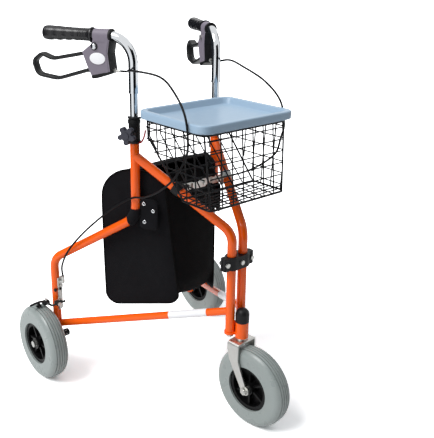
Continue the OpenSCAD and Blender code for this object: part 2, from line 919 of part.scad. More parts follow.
module basket_rear() {
  run_y = top_y1 - low_y1;
  run_z = knee_z - basket_low;
  slope = atan2(run_z, run_y);
  h = norm([run_y, run_z]);
  color("#151515")
    placed() {
      translate([-knee_x, low_y1 - 2, basket_low - 1])
        rotate([slope, 0, 0])
          grille(2 * knee_x, h, 27)
            polygon([
              [knee_x - low_x + 10, 7], [knee_x + low_x - 10, 7], [2 * knee_x - 11, h - 4], [11, h - 4]
            ]);
      translate([-knee_x, top_y1 + 1.2, knee_z + 2])
        rotate([90, 0, 0])
          grille(2 * knee_x, rim_z - knee_z - 6, 27)
            translate([12, 0]) square([2 * knee_x - 24, rim_z - knee_z - 6]);
    }
}

module basket_bottom() {
  color("#151515")
    placed()
      translate([-low_x, low_y0, basket_low - 1.2])
        grille(2 * low_x, low_y1 - low_y0, 17)
          round_rect(3.2, 3.2, 2 * low_x - 3.2, low_y1 - low_y0 - 6, 11);
}

// Tray that sits on the basket's rim
module tray() {
  color("lightsteelblue")
    placed()
      difference() {
        union() {
          translate([0, 0, tray_z])
            linear_extrude(tray_h)
              round_rect(-tray_x / 2, tray_y0, tray_x / 2, tray_y1, 16);
          translate([0, 0, tray_z - 5])
            linear_extrude(6)
              round_rect(-104, tray_y0 + 38, 104, tray_y1 - 36, 14);
        }
        translate([0, 0, tray_z + 6])
          linear_extrude(tray_h)
            round_rect(-tray_x / 2 + 20, tray_y0 + 20, tray_x / 2 - 20, tray_y1 - 20, 8);
        translate([0, 0, tray_z + tray_h - 7])
          linear_extrude(tray_h)
            round_rect(-tray_x / 2 + 12, tray_y0 + 12, tray_x / 2 - 12, tray_y1 - 12, 10);
      }
}

head_tube();
head_cap();
head_bearings();
hinge_pins();
clamp_front();
clamp_rear();
clamp_bolts();
main_tube(false);  // right_main_tube
front_tube(false);  // right_front_tube
lower_rail(false);  // right_lower_rail
collar(false);  // right_collar
strut_clip(false);  // right_strut_clip
bag_strap(false);  // right_bag_strap
brake_cable(false);  // right_brake_cable
brake_mount(false);  // right_brake_mount
rear_axle(false);  // right_rear_axle
main_tube(true);  // left_main_tube
front_tube(true);  // left_front_tube
lower_rail(true);  // left_lower_rail
collar(true);  // left_collar
strut_clip(true);  // left_strut_clip
bag_strap(true);  // left_bag_strap
brake_cable(true);  // left_brake_cable
brake_mount(true);  // left_brake_mount
rear_axle(true);  // left_rear_axle
handle_tube(false);  // right_handle_tube
handle_post(false);  // right_handle_post
grip(false);  // right_grip
brake_housing(false);  // right_brake_housing
lever_pin(false);  // right_lever_pin
handle_tube(true);  // left_handle_tube
handle_post(true);  // left_handle_post
grip(true);  // left_grip
brake_housing(true);  // left_brake_housing
lever_pin(true);  // left_lever_pin
brake_lever(false);  // right_brake_lever
brake_lever(true);  // left_brake_lever
height_knob(false);  // right_height_knob
height_knob(true);  // left_height_knob
brake_arm(false);  // right_brake_arm
brake_arm(true);  // left_brake_arm
strut_link(false);  // right_strut_link
strut_link(true);  // left_strut_link
rear_tyre(false);  // right_tyre
rear_rim(false);  // right_rim
rear_tyre(true);  // left_tyre
rear_rim(true);  // left_rim
fork();
fork_stem();
front_axle();
front_tyre();
front_rim();
bag();
basket_frame();
basket_front();
basket_sides();
basket_rear();
basket_bottom();
tray();
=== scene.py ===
# %% [markdown]
# A rollator with three wheels, dressed round its packed construction.
# The construction gives every tube, wheel and joint in its true place. This lesson
# adds what a construction leaves plain: paint, chrome and rubber, the soft bag,
# the round wires of the basket, the brake cables and the small fittings.
# Blender counts in metres, Z is up, and the caster wheel is at the front, towards -Y.
# "Right" is the side at -X, which is the near side in the photograph.

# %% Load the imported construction
import json

import bpy
import numpy as np
from mathutils import Matrix, Vector


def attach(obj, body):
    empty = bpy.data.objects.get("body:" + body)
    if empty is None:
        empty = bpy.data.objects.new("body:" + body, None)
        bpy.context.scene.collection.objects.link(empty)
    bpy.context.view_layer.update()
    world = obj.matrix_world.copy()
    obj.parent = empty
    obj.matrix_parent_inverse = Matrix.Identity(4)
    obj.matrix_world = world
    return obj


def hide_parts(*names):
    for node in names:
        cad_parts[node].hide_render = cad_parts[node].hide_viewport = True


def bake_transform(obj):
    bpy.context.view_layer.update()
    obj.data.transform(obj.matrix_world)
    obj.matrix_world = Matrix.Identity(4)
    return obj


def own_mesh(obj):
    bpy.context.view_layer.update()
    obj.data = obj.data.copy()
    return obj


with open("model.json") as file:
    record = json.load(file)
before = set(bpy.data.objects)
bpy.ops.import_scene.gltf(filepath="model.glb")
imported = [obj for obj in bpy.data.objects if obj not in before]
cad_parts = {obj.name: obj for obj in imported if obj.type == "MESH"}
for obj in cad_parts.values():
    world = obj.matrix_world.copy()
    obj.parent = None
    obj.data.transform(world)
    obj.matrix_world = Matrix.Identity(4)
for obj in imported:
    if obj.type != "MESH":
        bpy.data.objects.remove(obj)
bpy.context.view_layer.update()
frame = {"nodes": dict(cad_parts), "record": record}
scene = bpy.context.scene

# %% [markdown]
# The camera comes first. Its place and lens were worked out from straight edges
# and wheel outlines in the photograph: a little over a metre up, off the right
# front corner, looking down by nearly nineteen degrees.
# Its axis meets the picture at pixel 195 both ways, and a shift of the lens sees to that.

# %% Camera at the photograph's place
yaw, pitch, roll = np.radians((40.84, -18.65, 0.56))
photo_w, photo_h = 434, 438
lens_px, axis_px = 688.12, 195
sensor_mm = 36
camera_data = bpy.data.cameras.new("photo_camera")
camera_data.sensor_width = sensor_mm
camera_data.lens = lens_px * sensor_mm / photo_h
camera_data.shift_x = (photo_w / 2 - axis_px) / photo_h
camera_data.shift_y = (axis_px - photo_h / 2) / photo_h
camera_data.clip_end = 200
camera = bpy.data.objects.new("photo_camera", camera_data)
scene.collection.objects.link(camera)
camera.location = (-1.0448, -1.2464, 1.0704)
forward = np.array((np.sin(yaw) * np.cos(pitch), np.cos(yaw) * np.cos(pitch), np.sin(pitch)))
level = np.array((np.cos(yaw), -np.sin(yaw), 0.0))
above = np.cross(level, forward)
right = level * np.cos(roll) + above * np.sin(roll)
up = above * np.cos(roll) - level * np.sin(roll)
camera.rotation_euler = Matrix(np.stack((right, up, -forward), 1).tolist()).to_euler()
scene.camera = camera
print("lens", camera_data.lens, "shift", camera_data.shift_x, camera_data.shift_y)

# %% [markdown]
# Every finish is a tree of shader nodes. To keep its maths readable, a small class
# wraps a socket, so that an expression such as noise * 0.2 + 0.3 adds the Math nodes
# by itself. A second class holds a tree and adds any other node by its type.

# %% A socket that can be reckoned with
class Value:
    """A number on a surface. Its sums and products add Math nodes."""

    def __init__(self, tree, socket):
        self.tree = tree
        self.socket = socket

    def math(self, operation, *terms):
        node = self.tree.nodes.new("ShaderNodeMath")
        node.operation = operation
        for slot, term in zip(node.inputs, terms):
            if isinstance(term, Value):
                self.tree.links.new(term.socket, slot)
            else:
                slot.default_value = term
        return Value(self.tree, node.outputs[0])

    def __add__(self, other):
        return self.math("ADD", self, other)

    def __mul__(self, other):
        return self.math("MULTIPLY", self, other)

    __radd__ = __add__
    __rmul__ = __mul__

    def sine(self):
        return self.math("SINE", self)

    def most(self, other):
        return self.math("MAXIMUM", self, other)


class Nodes:
    """A tree of nodes. A node is given by its type, its settings and its sockets."""

    def __init__(self, tree):
        self.tree = tree

    def node(self, kind, output=0, settings=None, sockets=None):
        node = self.tree.nodes.new("ShaderNode" + kind)
        for key, value in (settings or {}).items():
            setattr(node, key, value)
        for key, value in (sockets or {}).items():
            if isinstance(value, Value):
                self.tree.links.new(value.socket, node.inputs[key])
            else:
                node.inputs[key].default_value = value
        return Value(self.tree, node.outputs[output])


# %% [markdown]
# A material is such a tree round one Principled shader. Plain values are set on its own
# sockets. What varies comes from nodes that read the object's own coordinates, in metres.

# %% One material
def paint(red, green, blue):
    """A colour as seen on a screen, 0 to 255, as the linear colour that a shader takes."""
    seen = np.array((red, green, blue)) / 255
    linear = np.where(seen < 0.04045, seen / 12.92, ((seen + 0.055) / 1.055) ** 2.4)
    return (*linear.tolist(), 1.0)


class Finish(Nodes):
    """One material: a Principled shader, its plain sockets, and the nodes that vary it."""

    def __init__(self, name, colour, **plain):
        self.material = bpy.data.materials.new(name)
        self.material.use_nodes = True
        super().__init__(self.material.node_tree)
        self.shader = self.tree.nodes["Principled BSDF"]
        self.colour = colour
        self.shader.inputs["Base Color"].default_value = colour
        for words, value in plain.items():
            socket = words.replace("_", " ").title().replace("Ior", "IOR")
            self.shader.inputs[socket].default_value = value

    def noise(self, scale, detail, stretch=None):
        """Noise over the object's own coordinates, which a Mapping node stretches if asked."""
        where = self.node("TexCoord", "Object")
        if stretch:
            where = self.node("Mapping", sockets={"Vector": where, "Scale": stretch})
        return self.node("TexNoise", sockets={"Vector": where, "Scale": scale, "Detail": detail})

    def cells(self, scale):
        where = self.node("TexCoord", "Object")
        return self.node("TexVoronoi", sockets={"Vector": where, "Scale": scale})

    def feed(self, name, value):
        self.tree.links.new(value.socket, self.shader.inputs[name])

    def shade(self, share, other):
        """The base colour, turned towards another colour by a share that varies."""
        mixed = self.node("Mix", 2, {"data_type": "RGBA"}, {0: share, 6: self.colour, 7: other})
        self.feed("Base Color", mixed)

    def bump(self, height, depth, strength):
        sockets = {"Height": height, "Distance": depth, "Strength": strength}
        self.feed("Normal", self.node("Bump", sockets=sockets))


# %% [markdown]
# The light is a plain soft studio: an even pale sky that fills every side, and one
# broad lamp from the upper left that leaves the front and right-hand faces darker.
# What the camera, a mirror or a glass sees of the sky is white.
# The floor is white too. It takes the shadows under the wheels, and for the camera
# it is a shade brighter, so that it runs into the white background with no edge.

# %% Sky and lamp
scene.view_settings.view_transform = "Standard"
world = bpy.data.worlds.new("studio_sky")
scene.world = world
world.use_nodes = True
sky = Nodes(world.node_tree)
sky_light = sky.tree.nodes["Background"]
sky_light.inputs["Color"].default_value = (0.96, 0.98, 1.0, 1.0)
sky_light.inputs["Strength"].default_value = 0.78
sky_white = sky.node("Background", sockets={"Color": (1.0, 1.0, 1.0, 1.0), "Strength": 1.0})
ray_kinds = ("Is Camera Ray", "Is Glossy Ray", "Is Transmission Ray")
seen, mirrored, passed = (sky.node("LightPath", kind) for kind in ray_kinds)
sky_plain = Value(sky.tree, sky_light.outputs[0])
sky_mix = sky.node("MixShader", sockets={0: seen.most(mirrored).most(passed), 1: sky_plain, 2: sky_white})
sky.tree.links.new(sky_mix.socket, sky.tree.nodes["World Output"].inputs["Surface"])

lamp_data = bpy.data.lights.new("broad_lamp", "SUN")
lamp_data.energy = 1.9
lamp_data.angle = np.radians(32)
lamp = bpy.data.objects.new("broad_lamp", lamp_data)
lamp.rotation_euler = Vector((0.6, -0.1, -0.8)).to_track_quat("-Z", "Y").to_euler()
scene.collection.objects.link(lamp)
print("lamp", lamp_data.energy, "sky", sky_light.inputs["Strength"].default_value)

# %% Floor
floor_half = 60
floor_corners = [(x * floor_half, y * floor_half, 0) for x, y in ((-1, -1), (1, -1), (1, 1), (-1, 1))]
floor_mesh = bpy.data.meshes.new("floor")
floor_mesh.from_pydata(floor_corners, [], [(0, 1, 2, 3)])
floor = bpy.data.objects.new("floor", floor_mesh)
scene.collection.objects.link(floor)
floor_finish = Finish("white_floor", (0.88, 0.88, 0.88, 1), roughness=0.9, specular_ior_level=0.0)
floor_finish.shade(floor_finish.node("LightPath", "Is Camera Ray"), (1.9, 1.9, 1.9, 1))
floor_mesh.materials.append(floor_finish.material)
print("floor", 2 * floor_half, "m wide")

# %% [markdown]
# Chrome shows only what is round it. In the photograph its tubes carry dark and
# bright streaks, so dark walls stand round the studio, each a part of a wide circle.
# No camera sees them and they throw no shadow. A card at the front is for the soft
# light instead: it holds back a part of the sky from faces towards the front.

# %% Dark walls for the reflections, and the card
wall_r, wall_low, wall_high, posts = 1.5, 0.15, 1.9, 25
wall_spans = {"wall_right": (-4, 62), "wall_left": (-168, -66), "wall_back": (118, 136),
              "card_front": (-12, 110)}
wall_faces = [(k, k + 1, k + posts + 1, k + posts) for k in range(posts - 1)]
toward_camera = np.arctan2(camera.location.y, camera.location.x)
wall_finish = Finish("dark_wall", (0.03, 0.035, 0.04, 1), roughness=0.9, specular_ior_level=0.0)
for wall_name, span in wall_spans.items():
    turn = toward_camera + np.radians(np.linspace(*span, posts))
    ring = np.stack((wall_r * np.cos(turn), wall_r * np.sin(turn)), -1)
    rows = [np.concatenate((ring, np.full((posts, 1), height)), 1) for height in (wall_low, wall_high)]
    wall_mesh = bpy.data.meshes.new(wall_name)
    wall_mesh.from_pydata(np.concatenate(rows).tolist(), [], wall_faces)
    wall_mesh.materials.append(wall_finish.material)
    wall = bpy.data.objects.new(wall_name, wall_mesh)
    scene.collection.objects.link(wall)
    wall.visible_camera = False
    wall.visible_transmission = False
    wall.visible_shadow = False
    wall.visible_diffuse = wall_name == "card_front"
    wall.visible_glossy = wall_name != "card_front"
print("walls and card", len(wall_spans))

# %% [markdown]
# No finish of the real object is quite even. A slow noise takes the colour part of the
# way to another one, a finer noise moves the gloss, and a bump gives the grain: small
# cells, as a mould leaves them, or a ripple, as a coat of lacquer has it. A picture
# could be wrapped round instead, but a noise has no seams.
# The frame is steel tube with a thick orange lacquer, glossy under a clear skin.

# %% Lacquer, chrome and bare steel
def uneven(name, colours, patches, gloss, grain, **plain):
    """A finish that varies. patches are a noise's scale, its detail and its share of the
    second colour. gloss is a noise's scale, its detail, its spread and the least
    roughness. grain is the bump's kind, its scale, its depth and its strength."""
    finish = Finish(name, paint(*colours[0]), **plain)
    scale, detail, share = patches
    finish.shade(finish.noise(scale, detail) * share, paint(*colours[1]))
    scale, detail, spread, least = gloss
    finish.feed("Roughness", finish.noise(scale, detail) * spread + least)
    kind, scale, depth, strength = grain
    height = finish.cells(scale) if kind == "cells" else finish.noise(scale, 1)
    finish.bump(height, depth, strength)
    return finish


orange = uneven(
    "orange_lacquer", ((255, 100, 12), (246, 86, 8)), (9, 3, 0.35), (160, 2, 0.12, 0.14),
    ("ripple", 300, 0.00008, 0.3), coat_weight=0.18, coat_roughness=0.1, specular_ior_level=0.35)

chrome = Finish("bright_chrome", (0.71, 0.73, 0.75, 1), metallic=1.0)
chrome.feed("Roughness", chrome.noise(70, 4) * 0.07 + 0.035)
chrome.shade(chrome.noise(35, 2) * 0.25, (0.6, 0.63, 0.66, 1))

steel = Finish("zinc_steel", (0.68, 0.68, 0.65, 1), metallic=1.0)
steel.feed("Roughness", steel.noise(240, 3) * 0.22 + 0.24)
steel.shade(steel.noise(90, 4) * 0.7, (0.54, 0.54, 0.52, 1))
steel.bump(steel.noise(900, 2, (1, 1, 0.08)), 0.0001, 0.4)
print("materials so far", len(bpy.data.materials))

# %% [markdown]
# The moulded parts are five plastics. The brake body is a grey with a touch of violet,
# collars and trims are black, the knobs a dark grey, the rims nearly black, and the
# tray a pale cool blue that is smoother.

# %% Moulded plastics
black_plastic = uneven(
    "black_moulding", ((22, 22, 24), (14, 14, 16)), (45, 3, 0.5), (130, 2, 0.2, 0.34),
    ("cells", 1500, 0.0001, 0.35), specular_ior_level=0.25)
knob_plastic = uneven(
    "knob_moulding", ((66, 66, 76), (50, 50, 58)), (80, 3, 0.5), (150, 2, 0.18, 0.38),
    ("cells", 1300, 0.00012, 0.4), specular_ior_level=0.3)
grey_plastic = uneven(
    "grey_moulding", ((130, 122, 135), (116, 109, 121)), (60, 4, 0.5), (200, 2, 0.2, 0.4),
    ("cells", 1100, 0.00016, 0.55))
rim_plastic = uneven(
    "rim_moulding", ((13, 13, 14), (22, 22, 23)), (60, 3, 0.4), (120, 2, 0.2, 0.26),
    ("cells", 1200, 0.0001, 0.3), specular_ior_level=0.18)
tray_plastic = uneven(
    "tray_moulding", ((160, 185, 207), (150, 176, 199)), (14, 4, 0.4), (90, 3, 0.16, 0.27),
    ("cells", 1000, 0.00008, 0.3))
print("materials so far", len(bpy.data.materials))

# %% [markdown]
# Soft and coated parts: the tyre is a grey foamed rubber, matt with a waxy shine;
# grips and cable skins are black rubber; the lever and the basket have a black
# coat over metal; the bag is woven nylon, whose weave is drawn from the cloth's
# own map in metres, one thread every 0.9 mm, with a little sheen on the fibres.

# %% Rubber, coats and cloth
tyre_rubber = uneven(
    "grey_tyre", ((151, 159, 157), (138, 146, 144)), (26, 4, 0.55), (40, 2, 0.14, 0.22),
    ("ripple", 300, 0.00003, 0.3))
grip_rubber = uneven(
    "black_grip", ((20, 20, 23), (30, 30, 34)), (55, 3, 0.6), (150, 2, 0.14, 0.2),
    ("cells", 900, 0.0001, 0.4), specular_ior_level=0.5)
lever_coat = uneven(
    "lever_coat", ((30, 31, 32), (44, 45, 46)), (70, 3, 0.5), (140, 3, 0.22, 0.28),
    ("cells", 1400, 0.0001, 0.35), specular_ior_level=0.3)
wire_coat = uneven(
    "black_wire_coat", ((15, 15, 17), (24, 24, 26)), (80, 2, 0.5), (150, 2, 0.2, 0.28),
    ("ripple", 1100, 0.00008, 0.3), specular_ior_level=0.2)

cable_skin = Finish("cable_skin", paint(17, 17, 19), roughness=0.4, specular_ior_level=0.15)
cable_skin.shade(cable_skin.noise(60, 2) * 0.6, paint(26, 27, 29))
cable_skin.bump(cable_skin.noise(900, 1), 0.0001, 0.25)

thread = 0.0009


def woven(name, colour, lighter):
    """Plain weave: the product of two sines of the cloth's own map, one per thread way."""
    cloth = Finish(name, colour, specular_ior_level=0.08, sheen_weight=0.03)
    cloth_map = cloth.node("UVMap", 0, {"uv_map": "cloth"})
    along, across = (cloth.node("SeparateXYZ", letter, sockets={0: cloth_map}) for letter in "XY")
    weave = (along * (np.pi / thread)).sine() * (across * (np.pi / thread)).sine()
    cloth.shade(cloth.noise(18, 4) * 0.5 + weave * 0.18, lighter)
    cloth.feed("Roughness", cloth.noise(60, 2) * 0.2 + 0.68)
    cloth.bump(weave + cloth.noise(35, 3) * 2, 0.00025, 0.6)
    return cloth


nylon = woven("black_nylon", paint(15, 15, 18), paint(24, 24, 28))
# The gusset and the piping take a darker copy of the same nylon. That is painted shade: the bag's front
# lies in shade, away from the lamp.
shaded_nylon = woven("nylon_painted_shade", paint(5, 5, 6), paint(9, 9, 10))
print("finishes", len(bpy.data.materials))

# %% [markdown]
# The nodes whose shape is right as packed keep it, and only get their finish. It
# follows from the node's slot, apart from a few nodes that look unlike their slot.

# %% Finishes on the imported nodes
slot_finish = {
    "frame_paint": orange, "chrome": chrome, "steel": steel, "black_plastic": black_plastic,
    "grey_plastic": grey_plastic, "lever": lever_coat, "grip": grip_rubber, "cable": cable_skin,
    "tyre": tyre_rubber, "rim_plastic": rim_plastic, "fabric": nylon, "wire": wire_coat,
    "tray_plastic": tray_plastic,
}
own_finish = {
    "right_height_knob": knob_plastic, "left_height_knob": knob_plastic, "left_strut_clip": steel,
}
node_slot = {n["node"]: n["material_slot"] for n in frame["record"]["subparts"]}
for name, node in frame["nodes"].items():
    finish = own_finish.get(name, slot_finish[node_slot[name]])
    node.data.materials.clear()
    node.data.materials.append(finish.material)
print("nodes dressed", len(node_slot))

# %% [markdown]
# New pieces are grids of points worked out with numpy. One function turns such a
# grid into a mesh that is closed round, closes its ends where asked, and gives it a
# map in metres, so that a weave keeps its scale. A second one hands the piece to its
# body: a piece with no body of its own stays where it was built.

# %% From a grid of points to a piece
def grid_faces(count):
    """Four corners of each cell of one grid, as whole index arrays."""
    return np.stack((count[:-1, :-1], count[1:, :-1], count[1:, 1:], count[:-1, 1:]), -1).reshape(-1, 4)


def inside_out(points, cells):
    """Whether a surface faces inward: the sum of its cells' signed volumes is below zero."""
    a, b, c, d = np.moveaxis(points[cells] - points[cells].mean((0, 1)), 1, 0)
    return ((np.cross(b - a, c - a) + np.cross(c - a, d - a)) * (a + c)).sum() < 0


def skin(name, grid, caps, sharp):
    """A mesh from a grid of points, rows by columns, with the last column joined to the
    first. caps closes the first and last rows. Several grids may be stacked."""
    grids = np.asarray(grid, float)
    if grids.ndim == 3:
        grids = grids[None]
    many, rows, columns = grids.shape[:3]
    points = grids.reshape(-1, 3)
    faces = []
    for part in np.arange(len(points)).reshape(many, rows, columns):
        cells = grid_faces(np.concatenate((part, part[:, :1]), 1))
        found = cells.tolist()
        if caps:
            found += [part[0][::-1].tolist(), part[-1].tolist()]
        flip = -1 if inside_out(points, cells) else 1
        faces += [face[::flip] for face in found]
    mesh = bpy.data.meshes.new(name)
    mesh.from_pydata(points.tolist(), [], faces)
    down = np.linalg.norm(np.diff(grids, axis=1, prepend=grids[:, :1]), axis=-1).cumsum(1)
    across = np.linalg.norm(np.diff(grids, axis=2, prepend=grids[:, :, :1]), axis=-1).cumsum(2)
    map_points = np.stack((across.reshape(-1), down.reshape(-1)), -1)
    corner = np.zeros(len(mesh.loops), np.int32)
    mesh.loops.foreach_get("vertex_index", corner)
    cloth_map = mesh.uv_layers.new(name="cloth")
    cloth_map.data.foreach_set("uv", map_points[corner].astype(np.float32).ravel())
    mesh.polygons.foreach_set("use_smooth", np.ones(len(mesh.polygons), bool))
    mesh.set_sharp_from_angle(angle=np.radians(sharp))
    return mesh


def piece(name, grid, finish, body, stands_for=(), caps=True, sharp=40):
    """A grid of points as a piece that rides on a body, with its finish."""
    item = bpy.data.objects.new(name, skin(name, grid, caps, sharp))
    scene.collection.objects.link(item)
    item.data.materials.append(finish.material)
    if body:
        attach(item, body)
    if stands_for:
        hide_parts(*stands_for)
    return item


# %% [markdown]
# Whatever is bent from wire or tube is made of rings of points along a path, and the
# path is a curve through a few chosen points. Blender's own curves could give the same
# shape, but a grid keeps each ring in a known place, for its ends and its map.

# %% Paths and tubes
def unit(vectors):
    """Vectors over their own lengths."""
    return vectors / np.linalg.norm(vectors, axis=-1, keepdims=True)


def full_turn(count):
    """Even steps round a whole turn, which stop one step short of the start."""
    return np.linspace(0, 2 * np.pi, count, endpoint=False)


def tube(path, radius, facets=12, lean=(0.0, 0.0, 1.0), wide=1.0, square=1.0):
    """Rings round a path: at each point, a circle square to the path's direction. wide
    stretches it towards the lean, and a square below one makes its corners fuller."""
    ahead = unit(np.gradient(path, axis=0))
    first = unit(np.cross(ahead, lean))
    second = np.cross(ahead, first)
    turn = full_turn(facets)[:, None]
    radius = np.broadcast_to(radius, len(path))[:, None, None]
    over = np.sign(np.cos(turn)) * np.abs(np.cos(turn)) ** square
    along = np.sign(np.sin(turn)) * np.abs(np.sin(turn)) ** square * wide
    return path[:, None] + radius * (over * first[:, None] + along * second[:, None])


def smooth(points, steps):
    """A curve through the points: each span is a cubic whose slopes come from the
    points before and after it."""
    points = np.asarray(points, float)
    a = np.concatenate((points[:1], points[:-2]))
    b = points[:-1]
    c = points[1:]
    d = np.concatenate((points[2:], points[-1:]))
    t = np.linspace(0, 1, steps, endpoint=False)[None, :, None]
    a, b, c, d = (x[:, None] for x in (a, b, c, d))
    square_part = (2 * a - 5 * b + 4 * c - d) * t**2
    cube_part = (3 * b - a - 3 * c + d) * t**3
    curve = 0.5 * (2 * b + (c - a) * t + square_part + cube_part)
    return np.concatenate((curve.reshape(-1, points.shape[1]), points[-1:]))


# %% [markdown]
# Each side frame stands in an upright plane that leans out from the head by 26
# degrees. It is handy to name a point by its distance along that plane, its
# distance out of it and its height, in millimetres, for either side.

# %% Points on a side frame
splay = np.radians(26)
half_gap, y_mid = 17.5, 190.945
sides = (("right", -1), ("left", 1))


def on_side(points, mirror):
    """Along, outward and up, in millimetres, to metres in the frame of the whole part."""
    along, out, height = np.moveaxis(points, -1, 0)
    x = mirror * (half_gap + along * np.sin(splay) + out * np.cos(splay))
    y = along * np.cos(splay) - out * np.sin(splay) - y_mid
    return np.stack((x, y, height), -1) / 1000


def way(mirror, along, out, height):
    """A direction on a side frame, as a vector of the whole part."""
    return on_side((along, out, height), mirror) * 1000 - on_side((0, 0, 0), mirror) * 1000


# %% [markdown]
# A brake cable leaves the adjuster under each grip, arcs outward past the basket,
# comes back under the diagonal and runs along the leg to the brake. It is a stiff
# sheathed cable, so it keeps a wide curve. A simulation could hang it, but its route
# can be read from the photograph, so it is a tube through chosen points. Its upper end
# slides with the handle and its lower end stays with the frame, but here it rides on no body.

# %% Brake cables
cable_r = 0.0025
cable_route = [
    (280.5, 0, 834), (264, 5, 835), (236, 31, 842), (162, 43, 835), (110, 78, 809), (74, 105, 769),
    (63, 114, 716), (70, 110, 680), (97, 107, 632), (151, 76, 584), (208, 39, 551), (250, 17, 537),
    (300, 17, 506), (350, 17, 464), (400, 17, 415), (440, 17, 366), (466, 10, 318), (473, 0, 284),
]
for side, mirror in sides:
    route = on_side(smooth(cable_route, 8), mirror)
    rings = tube(route, cable_r, 12, way(mirror, 0.0, 1.0, 0.2))
    cable = piece(f"{side}_cable", rings, cable_skin, None, [f"{side}_brake_cable"])
    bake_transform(cable)

# %% [markdown]
# The bag hangs between the side frames. It is sewn from two flat side panels and one
# long strip, the gusset, that runs down the front, under the foot and up the back.
# Panel and gusset share one outline with a rounded corner at each end of the foot and
# a wide curve at the upper back. Its front leans back towards the top. Piping covers
# the seam between them. Cloth could be simulated, but formulas keep each seam in place.

# %% Outline of the bag
bag_front, bag_back, bag_low, bag_top, bag_in = 146.0, 322.0, 258.0, 606.0, 14.0
front_lean, front_in, front_reach, foot_in = 28.0, 5.0, 30.0, 10.0
corner_points, run_points = 14, 21


def rounded_plan(corners, radius, arc, straight):
    """Corners of a plan, level by level, to a closed line with an arc at each corner.
    An arc is a turn about the corner's own centre from one side to the next."""
    before = unit(np.roll(corners, 1, 1) - corners)
    after = unit(np.roll(corners, -1, 1) - corners)
    half = np.arccos(np.clip((before * after).sum(-1, keepdims=True), -1, 1)) / 2
    radius = np.broadcast_to(np.asarray(radius, float)[..., None], half.shape)
    middle = corners + unit(before + after) * radius / np.sin(half)
    start = corners + before * radius / np.tan(half) - middle
    stop = corners + after * radius / np.tan(half) - middle
    whole = np.arccos(np.clip((start * stop).sum(-1, keepdims=True) / radius**2, -1, 1))[:, :, None]
    share = np.linspace(0, 1, arc)[None, None, :, None]
    from_start = np.sin((1 - share) * whole) * start[:, :, None]
    from_stop = np.sin(share * whole) * stop[:, :, None]
    bends = (from_start + from_stop) / np.sin(whole) + middle[:, :, None]
    onward = np.roll(bends[:, :, :1], -1, 1)
    share = np.linspace(0, 1, straight + 1)[None, None, 1:-1, None]
    runs = bends[:, :, -1:] * (1 - share) + onward * share
    return np.concatenate((bends, runs), 2).reshape(len(corners), -1, 2)


def bag_half_width(y, z):
    """Half the bag's width: the frame's plane, less the gap to it, drawn in to foot and front."""
    below_top = np.clip((bag_top - z) / (bag_top - bag_low), 0, 1)
    front_edge = bag_front + front_lean * (1 - below_top)
    near_front = np.clip((front_edge + front_reach - y) / front_reach, 0, 1)
    drawn_in = foot_in * below_top**1.6 + front_in * near_front**2
    return half_gap + y * np.tan(splay) - bag_in / np.cos(splay) - drawn_in


bag_corners = np.array([[(bag_front + front_lean, bag_top - 12), (bag_front - 2, bag_low + 3),
                         (bag_back + 8, bag_low - 42), (bag_back, bag_top - 6)]])
bag_radii = np.array([[4.0, 27.0, 28.0, 82.0]])
outline = rounded_plan(bag_corners, bag_radii, corner_points, run_points + 1)[0]
ahead = unit(np.roll(outline, -1, 0) - np.roll(outline, 1, 0))
outward = np.stack((ahead[:, 1], -ahead[:, 0]), -1)
print("bag outline points", len(outline))

# %% [markdown]
# The gusset is the outline carried across from one panel to the other. It swells most
# in the middle, and a product of two slow sines gives it the dents of soft cloth.
# The bag is empty, so its foot is drawn up between the panels, which hang lower, and
# sags a little in the middle. Its ring of points goes over the outside and back along
# the inside.

# %% Bag gusset
cloth_t = 2.4
front_swell, dent_depth = 13.0, 1.6
foot_reach, foot_rise, foot_sag = 60.0, 26.0, 12.0
seam = outline[corner_points - 1:-run_points]
seam_out = outward[corner_points - 1:-run_points]
seam_y, seam_z = seam[:, :1], seam[:, 1:]
step = np.linalg.norm(np.diff(seam, axis=0, prepend=seam[:1]), axis=1).cumsum()
fullness = np.sin(np.pi * step / step[-1]) ** 0.5
across = np.linspace(-1, 1, 27)
gusset_x = across * bag_half_width(seam_y, seam_z)
foot_share = np.clip((bag_low + foot_reach - seam_z) / foot_reach, 0, 1)
dents = np.sin(gusset_x / 21 + seam_z / 47) * np.sin(seam_z / 31 - seam_y / 26)
arch = 1 - across**2
swell = arch * fullness[:, None] * (front_swell + dent_depth * dents) * (1 - foot_share)
swell = swell - foot_share * (foot_rise - foot_sag * arch) * (1 - np.abs(across) ** 8)


def gusset_sheet(lift):
    """The strip at a distance outward along the outline's own normal."""
    y = seam_y + seam_out[:, :1] * lift - y_mid
    z = seam_z + seam_out[:, 1:] * lift
    return np.stack((gusset_x, y, z), -1) / 1000


gusset = np.concatenate((gusset_sheet(swell), gusset_sheet(swell - cloth_t)[:, ::-1]), 1)
# The gusset is in the darker nylon, which paints the shade of the bag's front.
bag = piece("bag_gusset", gusset, shaded_nylon, "head", ["bag"], sharp=60)
print("gusset points", gusset.shape[0] * gusset.shape[1])

# %% [markdown]
# A side panel is the outline shrunk towards its middle in steps, outside and inside,
# so that it is a thin closed cushion with a few shallow creases.

# %% Bag side panels
ring_share = np.array((0.02, 0.2, 0.4, 0.6, 0.75, 0.87, 0.95, 1.0))
panel_out = np.repeat((-cloth_t, 0.0), len(ring_share))[:, None]
ring_share = np.concatenate((ring_share, ring_share[::-1]))[:, None]
panel_middle = outline.mean(0)
panel_y = panel_middle[0] + (outline[:, 0] - panel_middle[0]) * ring_share
panel_z = panel_middle[1] + (outline[:, 1] - panel_middle[1]) * ring_share
crease = np.sin(panel_y / 19 + panel_z / 70) * np.sin(panel_z / 43 - 0.6)
panel_x = bag_half_width(panel_y, panel_z) + panel_out + (1 - ring_share**2) * (0.8 + 1.1 * crease)
near_and_far = [np.stack((mirror * panel_x, panel_y - y_mid, panel_z), -1) / 1000 for mirror in (-1, 1)]
bag_panels = piece("bag_panels", np.stack(near_and_far), nylon, "head", sharp=60)
print("panel points", panel_x.size * 2)
